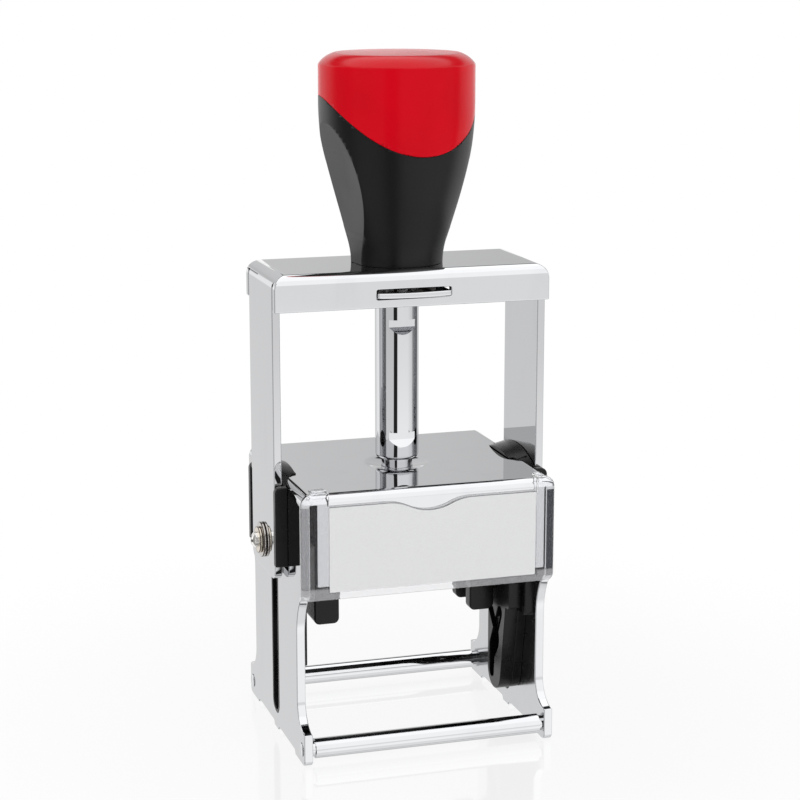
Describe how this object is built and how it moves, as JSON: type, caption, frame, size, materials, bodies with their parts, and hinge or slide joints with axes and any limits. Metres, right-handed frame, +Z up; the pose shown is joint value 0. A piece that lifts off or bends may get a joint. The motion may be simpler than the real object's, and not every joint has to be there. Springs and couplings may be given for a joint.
{
  "type": "self-inking hand stamp",
  "caption": "Heavy-duty self-inking hand stamp: chrome frame with column, sprung yoke, flared handle, turning die under an ink pad, label window.",
  "frame": {"origin": "on the table, under the centre of the column and handle axis", "axes": "+Z up along the column, -Y to the front with the label window, +X to the right seen from the front"},
  "size_m": [0.0744, 0.0556, 0.1663],
  "materials": {
    "chrome_sheet": "bright chrome plating over steel sheet, rod and tube",
    "plated_steel": "bright zinc or nickel plating",
    "spring_steel": "drawn spring wire",
    "bush_brass": "turned, plain",
    "black_moulding": "moulded, fine satin",
    "black_grip": "moulded, satin",
    "red_cap": "moulded, glossy, bare of any print",
    "clear_moulding": "clear polished moulding",
    "white_card": "smooth white card, blank",
    "die_rubber": "moulded or laser-cut rubber, blank field inside a border",
    "pad_felt": "inked felt"
  },
  "bodies": {
    "base": {"base_frame": "chrome_sheet", "front_cross_rod": "chrome_sheet", "rear_cross_rod": "chrome_sheet", "guide_column": "chrome_sheet", "left_slide_guide": "black_moulding", "right_slide_guide": "black_moulding", "left_slot_liner": "black_moulding", "flip_guide_plate": "black_moulding", "flip_cam": "black_moulding", "label_window": "clear_moulding", "label_card": "white_card", "return_spring": "spring_steel"},
    "press": {"yoke": "chrome_sheet", "column_bush": "bush_brass", "handle_grip": "black_grip", "handle_cap": "red_cap", "spring_seat": "black_moulding", "pivot_screws": "plated_steel", "pivot_washers": "plated_steel", "pivot_lock_washers": "plated_steel", "pivot_bushes": "black_moulding"},
    "latch": {"lock_latch": "plated_steel"},
    "die": {"die_carrier": "black_moulding", "die_plate": "black_moulding", "rubber_die": "die_rubber", "flip_pin": "plated_steel"},
    "pad": {"pad_tray": "black_moulding", "ink_pad": "pad_felt"}
  },
  "joints": [
    {"name": "press", "type": "slide", "parent": "base", "child": "press", "axis": [0, 0, -1], "range_m": [0, 0.0405], "stiffness_N_per_m": 300, "springref_m": -0.02, "deforming": ["return_spring"]},
    {"name": "die_turn", "type": "hinge", "parent": "press", "child": "die", "pos_m": [0, 0, 0.049], "axis": [-1, 0, 0], "range_deg": [0, 180]},
    {"name": "latch_push", "type": "slide", "parent": "press", "child": "latch", "axis": [0, 1, 0], "range_m": [0, 0.002]},
    {"name": "pad_draw", "type": "slide", "parent": "base", "child": "pad", "axis": [0, 1, 0], "range_m": [0, 0.048]}
  ],
  "couplings": [
    {"joint": "die_turn", "follows": "press", "rad_per_m": 77.57}
  ]
}
